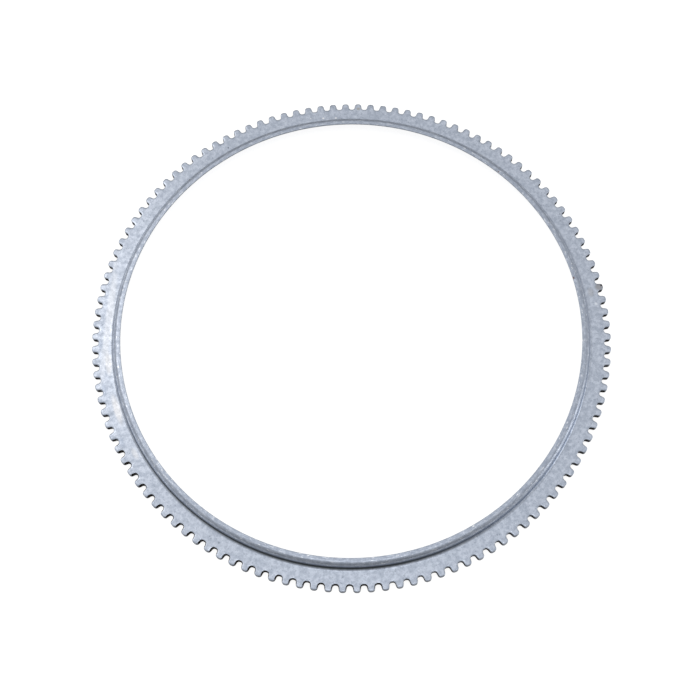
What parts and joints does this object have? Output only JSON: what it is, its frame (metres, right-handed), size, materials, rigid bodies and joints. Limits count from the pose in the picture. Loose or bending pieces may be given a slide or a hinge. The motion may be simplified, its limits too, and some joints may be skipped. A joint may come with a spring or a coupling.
{
  "type": "abs tone ring",
  "caption": "Flat toothed steel ring for a wheel speed sensor, with fine square teeth round its outer edge and a pressed lip round its wide bore.",
  "frame": {"origin": "centre of the ring's flat underside, on the bore's axis", "axes": "+Z along the bore's axis, from the flat underside towards the pressed lip; +X through the middle of a tooth"},
  "size_m": [0.208, 0.208, 0.0067],
  "materials": {
    "plated_steel": "satin zinc plating over stamped sheet, with fine mottling"
  },
  "bodies": {
    "root": {"tone_ring": "plated_steel"}
  },
  "joints": []
}
